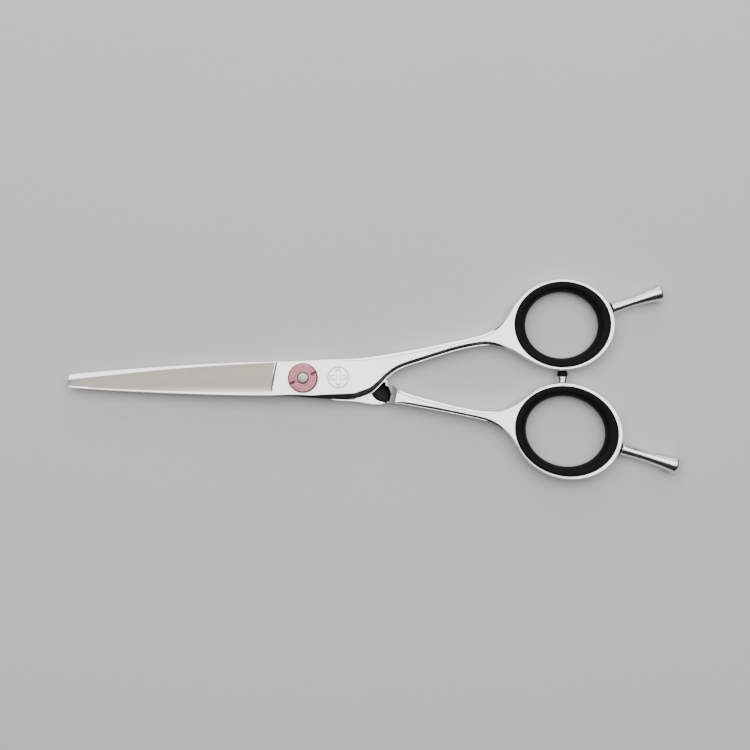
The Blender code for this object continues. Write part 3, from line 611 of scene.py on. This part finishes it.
def tip_share(x):
    """How much of the blade's full width is left here: its corners are rounded off at the blunt tip."""
    inside = min(max((TIP_X + TIP_ROUND - x) / TIP_ROUND, 0), 1)
    return TIP_BLUNT + (1 - TIP_BLUNT) * sqrt(1 - inside * inside)


def face_fall(across):
    """How far the ground face has fallen, as a share: level at the spine, then an even slope to the edge."""
    level = 0.2
    fallen = across * across / (2 * level) if across < level else across - level / 2
    return fallen / (1 - level / 2)


def blade_section(half, station_x, kind, plunge=0.0):
    """The loop of points round the blade at one station. kind is ground, flat (the pivot area) or join.
    plunge is how far a ground station has risen towards the flat pivot area."""
    along = ease((GRIND_X - station_x) / (GRIND_X - TIP_X))
    spine_tall = FULL - (FULL - BLADE_SPINE_AT_TIP) * along if kind == "ground" else FULL
    slant = 1.6 * ease((station_x - GRIND_X + 6) / 6) * ease((JOIN_X - station_x) / 6)
    edge_tall = EDGE_THICK + (FULL - EDGE_THICK) * plunge
    corner = (NARROW, BEVEL_STEEP * NARROW, 0.5)
    if kind == "join":
        near, near_bevel = -FULL, corner
    elif kind == "flat":
        near, near_bevel = -0.6, TINY_BEVEL
    else:
        near, near_bevel = RIDE_GAP + 0.03, TINY_BEVEL
    if kind == "ground":
        spine_bevel = mix((0.16, 0.2, 0.1), half.bevel(GRIND_X, half.is_front), plunge)
        edge_bevel = (0.05, 0.08, 0.3)
    else:
        spine_bevel, edge_bevel = half.bevel(station_x, half.is_front), corner
    points = []

    def put(across, inset, from_ride):
        x = station_x + slant * (across - 0.5)
        spine_y, edge_y = height_at(half.spine, x), height_at(half.edge, x)
        middle, reach = (spine_y + edge_y) / 2, (edge_y - spine_y) / 2 * tip_share(station_x)
        inward = (1 if edge_y > spine_y else -1) * (1 - 2 * round(across))
        points.append(Vector((x, middle + reach * (2 * across - 1) + inward * inset, half.height(from_ride))))

    def outer(across):
        if kind != "ground":
            return FULL
        return spine_tall - (spine_tall - edge_tall) * face_fall(across)

    width = abs(height_at(half.edge, station_x) - height_at(half.spine, station_x)) * tip_share(station_x)
    for inset, from_ride in side_profile(near, near_bevel, spine_tall, spine_bevel):
        put(0, min(inset, width * 0.3), from_ride)
    first = min(spine_bevel[0] + HOLD, width * 0.3) / width
    last = 1 - min(edge_bevel[0] + HOLD, width * 0.3) / width
    for n in range(1, ACROSS):
        across = first + (last - first) * n / ACROSS
        put(across, 0, outer(across))
    edge_side = side_profile(near, near_bevel, outer(1), edge_bevel)
    for k, (inset, from_ride) in enumerate(reversed(edge_side)):
        rise = outer(1 - inset / width) - outer(1) if k <= BEVEL_STEPS + 1 else 0
        put(1, min(inset, width * 0.3), from_ride + rise)
    for n in range(ACROSS - 1, 0, -1):
        across = n / ACROSS
        hollow = HOLLOW * width * (1 - (2 * across - 1) ** 2) if kind == "ground" else 0
        put(across, 0, near + hollow)
    return points


def blade_stations():
    """(x, kind, plunge) from the tip to the join, closest together round the tip and at the grind line."""
    stations = []
    for n in range(14):
        turn = pi / 2 * n / 13
        stations.append((TIP_X + 0.015 + TIP_ROUND * (1 - cos(turn)), "ground", 0.0))
    start, end = TIP_X + TIP_ROUND, GRIND_X - 0.75
    for n in range(1, 57):
        stations.append((start + (end - start) * n / 56, "ground", 0.0))
    for n in range(1, 9):
        share = n / 8
        stations.append((end + (GRIND_X - end) * share, "ground", share ** 3.2))
    stations.append((GRIND_X + 0.12, "flat", 0.0))
    for n in range(1, 14):
        stations.append((GRIND_X + 0.12 + (JOIN_X - 0.3 - GRIND_X - 0.12) * n / 13, "flat", 0.0))
    stations.append((JOIN_X, "join", 0.0))
    return stations


def handle_bevel(half, n, point, arc_start, arc_end):
    """The bevel beside the flat face at one point of the outline."""
    bevel = half.bevel(point.x, n < (arc_start + arc_end) / 2)
    to_ring = 1.0 if arc_start <= n <= arc_end else ease((point.x - 45) / 7)
    return mix(bevel, RING_OUTER_BEVEL, to_ring)


def half_mesh(half):
    bm = bmesh.new()
    loops = []
    for station in blade_stations():
        loops.append([bm.verts.new(p) for p in blade_section(half, *station)])
    bm.faces.new(loops[0])
    for a, b in zip(loops, loops[1:]):
        bridge(bm, a, b)
    count = 2 * BEVEL_STEPS + 4
    last = loops[-1]
    spine_side = last[:count]
    edge_side = last[count + ACROSS - 1:2 * count + ACROSS - 1][::-1]
    outer_face = last[count:count + ACROSS - 1]
    ride_face = last[2 * count + ACROSS - 1:]

    path, arc_start, arc_end = handle_path(half.lower, half.upper, half.outer)
    normals = inward_normals(path)
    lower_side, upper_side = (spine_side, edge_side) if half.is_front else (edge_side, spine_side)
    levels = [[lower_side[k]] for k in range(count)]
    for n in range(1, len(path) - 1):
        bevel = handle_bevel(half, n, path[n], arc_start, arc_end)
        for k, (inset, from_ride) in enumerate(side_profile(-FULL, bevel, FULL, bevel)):
            flat = path[n] + normals[n] * inset
            levels[k].append(bm.verts.new((flat.x, flat.y, half.height(from_ride))))
    for k in range(count):
        levels[k].append(upper_side[k])
    for a, b in zip(levels, levels[1:]):
        bridge(bm, a, b, closed=False)

    hole = []
    for inset, from_ride in side_profile(-FULL, HOLE_BEVEL, FULL, HOLE_BEVEL):
        angles = [2 * pi * n / RING_STEPS for n in range(RING_STEPS)]
        rim = [ellipse_point(half.inner, a, inset) for a in angles]
        hole.append([bm.verts.new((*p, half.height(from_ride))) for p in rim])
    for a, b in zip(hole, hole[1:]):
        bridge(bm, a, b)
    if half.is_front:
        fill(bm, levels[-1] + outer_face[::-1], hole[-1])
        fill(bm, levels[0] + ride_face, hole[0])
    else:
        fill(bm, levels[-1] + outer_face, hole[-1])
        fill(bm, levels[0] + ride_face[::-1], hole[0])
    bmesh.ops.recalc_face_normals(bm, faces=bm.faces)
    return bm


def step_cutter(half):
    profile = [(0, RIDE_GAP), (STEP_R, RIDE_GAP)]
    for n in range(1, 17):
        turn = radians(84) * n / 16
        profile.append((STEP_R + STEP_FILLET * sin(turn), RIDE_GAP - STEP_FILLET * (1 - cos(turn))))
    profile += [(STEP_R + STEP_FILLET, -6), (0, -6)]
    return turned([(r, half.height(h)) for r, h in profile], 256)


def race_cutter(half):
    reach = RIDE_GAP + RACE_DEEP
    profile = [(0, -1), (RACE_R, -1), (RACE_R, reach - 0.15), (RACE_R - 0.15, reach), (0, reach)]
    return turned([(r, half.height(h)) for r, h in profile])


def drum(radius, low, high, steps=64):
    return turned([(0, low), (radius, low), (radius, high), (0, high)], steps)


def scoop_cutter():
    bm = bmesh.new()
    bmesh.ops.create_uvsphere(bm, u_segments=64, v_segments=40, radius=1)
    bmesh.ops.scale(bm, vec=SCOOP_SIZE, verts=bm.verts)
    bm.transform(Matrix.Translation(SCOOP_CENTRE) @ Matrix.Rotation(SCOOP_TURN, 4, "Z"))
    return bm


def stub_hole(x, y, turn, length):
    """The drilled hole that a tang's or the bumper's stub screws into."""
    bm = drum(STUB_R + STUB_CLEAR, -length, 0.8)
    bm.transform(lying(x, y, turn))
    return bm


def build_half(name, half, body, materials, *more_cutters):
    piece = add_object(name, half_mesh(half))
    cut(piece, step_cutter(half), race_cutter(half), *more_cutters, sharp=24)
    for material in materials:
        piece.data.materials.append(material)
    up = 1 if half.is_front else -1
    turned_scoop = Matrix.Translation(SCOOP_CENTRE) @ Matrix.Rotation(SCOOP_TURN, 4, "Z")
    into_scoop = (turned_scoop @ Matrix.Diagonal(SCOOP_SIZE).to_4x4()).inverted()
    for face in piece.data.polygons:
        centre = face.center / MM
        away = centre.to_2d().length
        from_spine = abs(centre.y - height_at(half.spine, centre.x))
        if centre.x < GRIND_X - 0.35 and face.normal.z * up > 0.75 and from_spine > POLISHED_RIM:
            face.material_index = 1
        # The hollow in the back half's ride face gets the near-black steel: painted shade.
        elif not half.is_front and abs((into_scoop @ centre).length - 1) < 0.03 and face.normal.z > 0.1:
            face.material_index = 3
        elif not half.is_front and STEP_R < away < STEP_R + STEP_FILLET + 0.1 and 0.1 < face.normal.z < 0.995:
            face.material_index = 4
        elif centre.x > GRIND_X and face.normal.y < 0 and 0.2 < abs(face.normal.z) < 0.95:
            face.material_index = 2
    finish_piece(piece, body, "polished_steel", None, name.replace("_fine", ""))
    return piece


# Smaller pieces -----------------------------------------------------------------------------------------
def insert_piece(name, ring, waist, body, node):
    """A rubber ring with rounded lips and a waisted hole."""
    bm = bmesh.new()
    low, high, out, lip, flare = 0.0, INSERT_HIGH_Z, -INSERT_GAP, INSERT_LIP, INSERT_FLARE
    section = [(ring, out, low + lip), (ring, out, high - lip)]
    for n in range(1, 5):
        turn = pi / 2 * n / 4
        section.append((ring, out - lip * (1 - cos(turn)), high - lip + lip * sin(turn)))
    for n in range(0, 25):
        share = n / 24
        grow = flare * (1 - sin(share * pi) ** 0.8) if 0 < n < 24 else flare
        section.append((waist, grow, high - (high - low) * share))
    for n in range(0, 4):
        turn = pi / 2 * (1 - n / 4)
        section.append((ring, out - lip * (1 - cos(turn)), low + lip - lip * sin(turn)))
    loops = []
    for n in range(RING_STEPS):
        angle = 2 * pi * n / RING_STEPS
        loops.append([bm.verts.new((*ellipse_point(oval, angle, grow), z)) for oval, grow, z in section])
    for a, b in zip(loops, loops[1:] + loops[:1]):
        bridge(bm, a, b)
    bmesh.ops.recalc_face_normals(bm, faces=bm.faces)
    piece = add_object(name, bm, sharp=50)
    finish_piece(piece, body, "black_rubber", looks["rubber"], node)


def rest_piece(name, rest, body, node):
    """A tang: stub, foot, waist, trumpet flare and domed end."""
    x, y, turn, length, foot_r, waist_r, end_r = rest
    profile = [(0, -STUB_LONG), (STUB_R, -STUB_LONG), (STUB_R, FOOT_AT)]
    start = FOOT_AT + FOOT_ROUND
    for n in range(5):
        angle = pi / 2 * n / 4
        profile.append((foot_r - FOOT_ROUND * (1 - sin(angle)), start - FOOT_ROUND * cos(angle)))
    waist_at, flare_at = 0.35 * length, 0.93 * length
    for n in range(1, 17):
        share = n / 16
        radius = foot_r + (waist_r - foot_r) * ease(share)
        profile.append((radius, start + (waist_at - start) * share))
    for n in range(1, 25):
        share = n / 24
        profile.append((waist_r + (end_r - waist_r) * share ** 1.8, waist_at + (flare_at - waist_at) * share))
    for n in range(1, 13):
        angle = pi / 2 * n / 12
        radius = 0 if n == 12 else end_r * (0.35 + 0.65 * cos(angle))
        profile.append((radius, flare_at + (length - flare_at) * sin(angle)))
    piece = add_object(name, turned(profile), sharp=40)
    piece.matrix_world = lying(x, y, turn, MM)
    finish_piece(piece, body, "satin_steel", looks["satin"], node)


def washer_piece(name, rest, body, node):
    """The rubber ring under a tang, with a round rim."""
    x, y, turn, *_ = rest
    bore, round_r, round_at, middle = STUB_R + STUB_CLEAR, 0.11, 1.31, 0.17
    profile = [(bore, middle - round_r)]
    for n in range(9):
        angle = pi * n / 8
        profile.append((round_at + round_r * sin(angle), middle - round_r * cos(angle)))
    profile.append((bore, middle + round_r))
    piece = add_object(name, turned(profile), sharp=50)
    piece.matrix_world = lying(x, y, turn, MM)
    finish_piece(piece, body, "black_rubber", looks["rubber"], node)


def rounded(profile, radius, steps=4):
    """The turned profile with each inner corner cut back to a small round."""
    made = [profile[0]]
    for before, corner, after in zip(profile, profile[1:], profile[2:]):
        here = Vector(corner)
        back, forth = Vector(before) - here, Vector(after) - here
        reach = min(radius, back.length * 0.45, forth.length * 0.45)
        start, end = here + back.normalized() * reach, here + forth.normalized() * reach
        made.append(tuple(start + back.normalized() * min(HOLD, back.length * 0.04)))
        for n in range(steps + 1):
            t = n / steps
            point = start * (1 - t) ** 2 + here * 2 * t * (1 - t) + end * t * t
            made.append(tuple(point))
        made.append(tuple(end + forth.normalized() * min(HOLD, forth.length * 0.04)))
    return made + [profile[-1]]


def rounded_loop(profile, radius):
    """The same for a closed profile: all of its corners are rounded."""
    return rounded(profile + profile[:2], radius)[1:-1]


def bumper_pieces(body):
    """The stepped screw between the rings, and the rubber tip pegged into its collar."""
    foot, top, bore = BUMPER_FOOT_Y, COLLAR_TOP_Y, PEG_R + 0.06
    profile = [(0, foot - 0.75), (STUB_R, foot - 0.75), (STUB_R, foot), (BARREL_R, foot),
               (BARREL_R, BARREL_TOP_Y), (COLLAR_R, BARREL_TOP_Y + 0.04), (COLLAR_R, top), (bore, top),
               (bore, top - 0.7), (0, top - 0.7)]
    screw = add_object("bumper_screw_fine", turned(rounded(profile, 0.13)), sharp=50)
    screw.matrix_world = lying(BUMPER_X, 0, 90, MM)
    finish_piece(screw, body, "polished_steel", looks["satin"], "bumper_screw")
    low, side_end = top + 0.06, BUMPER_TIP_SIDE_Y
    profile = [(0, top - 0.6), (PEG_R, top - 0.6), (PEG_R, low), (BUMPER_TIP_R, low),
               (BUMPER_TIP_R, side_end)]
    profile = rounded(profile, 0.1)
    for n in range(1, 9):
        angle = pi / 2 * n / 8
        radius = 0 if n == 8 else BUMPER_TIP_R * (0.3 + 0.7 * cos(angle))
        profile.append((radius, side_end + 0.6 * sin(angle)))
    tip = add_object("bumper_tip_fine", turned(profile), sharp=50)
    tip.matrix_world = lying(BUMPER_X, 0, 90, MM)
    finish_piece(tip, body, "black_rubber", looks["rubber"], "bumper_tip")


def dial_pieces():
    """The dial with its pocket, bore and two notches, and the hub ring in its bore."""
    low, high = DIAL_LOW_Z, DIAL_HIGH_Z
    profile = [(DIAL_BORE_R, DIAL_POCKET_Z), (DIAL_POCKET_R, DIAL_POCKET_Z), (DIAL_POCKET_R, low),
               (DIAL_R, low), (DIAL_R, high - 0.4), (DIAL_R - 0.38, high), (2.5, high), (DIAL_BORE_R, high)]
    dial = add_object("tension_dial_fine", turned(rounded_loop(profile, 0.08)), sharp=40)
    cutters = []
    for side in range(2):
        bm = bmesh.new()
        bmesh.ops.create_cube(bm, size=1)
        bmesh.ops.scale(bm, vec=(3.0, NOTCH_WIDE, 1.0), verts=bm.verts)
        turn = Matrix.Rotation(NOTCH_TURN + pi * side, 4, "Z")
        bm.transform(turn @ Matrix.Translation((NOTCH_FROM + 1.5, 0, high - NOTCH_DEEP + 0.5)))
        cutters.append(bm)
    cut(dial, *cutters, sharp=12)
    dial.data.materials.append(looks["pink"])
    dial.data.materials.append(looks["slot_painted_shade"])
    # The slots' floors get the dark red: painted shade.
    for face in dial.data.polygons:
        centre = face.center / MM
        if face.normal.z > 0.9 and low + 0.4 < centre.z < high - 0.3 and centre.to_2d().length > 2:
            face.material_index = 1
    finish_piece(dial, "dial", "pink_anodised", None, "tension_dial")
    hub_low, hub_high = DIAL_POCKET_Z, high + 0.03
    hub_profile = [(HUB_BORE_R, hub_low), (HUB_R, hub_low), (HUB_R, hub_high), (HUB_BORE_R, hub_high)]
    hub = add_object("dial_hub_fine", turned(rounded_loop(hub_profile, 0.06)), sharp=40)
    finish_piece(hub, "dial", "pink_anodised", looks["pink"], "dial_hub")


def pivot_screw_piece():
    """Flat back head, journal, and the stud whose blasted dome shows in the dial's hole."""
    head_r, head_top, journal_r = 3.4, 0.85, 1.7
    profile = [(0, 0), (head_r, 0), (head_r, head_top), (journal_r, head_top), (journal_r, 4.65),
               (STUD_R, 4.95), (STUD_R, STUD_DOME_Z)]
    profile = rounded(profile, 0.2)
    for n in range(1, 13):
        angle = pi / 2 * n / 12
        profile.append((0 if n == 12 else STUD_R * cos(angle), STUD_DOME_Z + 0.35 * sin(angle)))
    screw = add_object("pivot_screw_fine", turned(profile), sharp=40)
    screw.data.materials.append(looks["polished"])
    screw.data.materials.append(looks["blasted"])
    for face in screw.data.polygons:
        if face.center.z > (STUD_DOME_Z - 0.1) * MM:
            face.material_index = 1
    finish_piece(screw, "back_half", "polished_steel", None, "pivot_screw")


# Stage --------------------------------------------------------------------------------------------------
def add_area(name, location, target, size, power, colour=(1, 1, 1)):
    light = bpy.data.lights.new(name, "AREA")
    light.shape = "RECTANGLE"
    light.size, light.size_y = size
    light.energy = power
    light.color = colour
    made = bpy.data.objects.new(name, light)
    bpy.context.scene.collection.objects.link(made)
    made.location = location
    made.rotation_euler = (Vector(target) - Vector(location)).to_track_quat("-Z", "Y").to_euler()


def build_stage():
    bm = bmesh.new()
    bmesh.ops.create_grid(bm, x_segments=1, y_segments=1, size=1500)
    floor = add_object("floor", bm)
    floor.location.z = -0.00002
    floor.data.materials.append(pale_floor())
    world = bpy.data.worlds.new("studio")
    bpy.context.scene.world = world
    world.use_nodes = True
    background = world.node_tree.nodes["Background"]
    background.inputs["Color"].default_value = (1.0, 0.97, 0.92, 1)
    background.inputs["Strength"].default_value = 0.02
    add_area("overhead_softbox", (0.018, 0.3, 0.75), (0.018, 0.3, 0), (1.3, 0.84), 11.0)
    add_area("far_softbox", (0.018, 0.85, 0.32), (0.018, 0, 0), (0.9, 0.3), 3.2)


def build_camera():
    """Straight above the shears, as far off as gives the picture's slight perspective."""
    height, view_wide, focus_z = 0.32, 0.1884, 0.0035
    camera = bpy.data.cameras.new("camera")
    camera.sensor_width = 36
    camera.lens = camera.sensor_width * (height - focus_z) / view_wide
    made = bpy.data.objects.new("camera", camera)
    bpy.context.scene.collection.objects.link(made)
    made.location = (0.0180, 0.00075, height)
    bpy.context.scene.camera = made


# Assembly -----------------------------------------------------------------------------------------------
looks = {
    "polished": polished_steel().material,
    "marked": marked_steel(),
    "flank": polished_steel("flank_steel", 1.0).material,
    "blasted": blasted_steel("blasted_steel", (0.80, 0.79, 0.75), 0.38),
    "wall": blasted_steel("wall_steel", (0.92, 0.91, 0.87), 0.6),
    # Near-black steel for the hollow in the back half: painted shade, not a real finish.
    "scoop_painted_shade": blasted_steel("scoop_painted_shade_steel", (0.035, 0.033, 0.028), 0.5),
    "front_ground": ground_steel("front_ground_steel", -1),
    "back_ground": ground_steel("back_ground_steel", 1),
    "satin": satin_turned(),
    "pink": pink_anodised(),
    "slot_painted_shade": slot_painted_shade(),
    "rubber": black_rubber(),
    "brass": brass(),
    "nylon": white_nylon(),
}
front = Half(FRONT_SPINE, FRONT_EDGE, FRONT_LOWER, FRONT_UPPER, UPPER_OUTER, UPPER_INNER,
             FRONT_LOWER_BEVEL, True)
back = Half(BACK_SPINE, BACK_EDGE, BACK_LOWER, BACK_UPPER, LOWER_OUTER, LOWER_INNER,
            BACK_LOWER_BEVEL, False)
front_metals = (looks["marked"], looks["front_ground"], looks["flank"])
back_metals = (looks["polished"], looks["back_ground"], looks["flank"], looks["scoop_painted_shade"], looks["wall"])
front_cutters = (drum(BUSH_HOLE_R, 2, 7), stub_hole(*UPPER_REST[:3], 1.6))
build_half("front_blade_fine", front, "front_half", front_metals, *front_cutters)
back_cutters = (drum(HEAD_RECESS_R, -1, HEAD_RECESS_TOP_Z), drum(NECK_HOLE_R, 0.5, 3), scoop_cutter(),
                stub_hole(*LOWER_REST[:3], 1.8), stub_hole(BUMPER_X, BUMPER_FOOT_Y, 90, 1.6))
build_half("back_blade_fine", back, "back_half", back_metals, *back_cutters)
insert_piece("upper_finger_insert_fine", UPPER_INNER, UPPER_WAIST, "front_half", "upper_finger_insert")
insert_piece("lower_finger_insert_fine", LOWER_INNER, LOWER_WAIST, "back_half", "lower_finger_insert")
rest_piece("upper_finger_rest_fine", UPPER_REST, "front_half", "upper_finger_rest")
rest_piece("lower_finger_rest_fine", LOWER_REST, "back_half", "lower_finger_rest")
washer_piece("upper_rest_washer_fine", UPPER_REST, "front_half", "upper_rest_washer")
washer_piece("lower_rest_washer_fine", LOWER_REST, "back_half", "lower_rest_washer")
bumper_pieces("back_half")
dial_pieces()
pivot_screw_piece()
kept = {"pivot_bush": "nylon", "click_plate": "brass", "tension_spring": "polished", "bearing_cage": "brass"}
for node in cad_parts:
    if node.startswith("bearing_ball"):
        kept[node] = "polished"
for node, look in kept.items():
    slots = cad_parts[node].material_slots
    slots[0].material = looks[look]
build_stage()
build_camera()
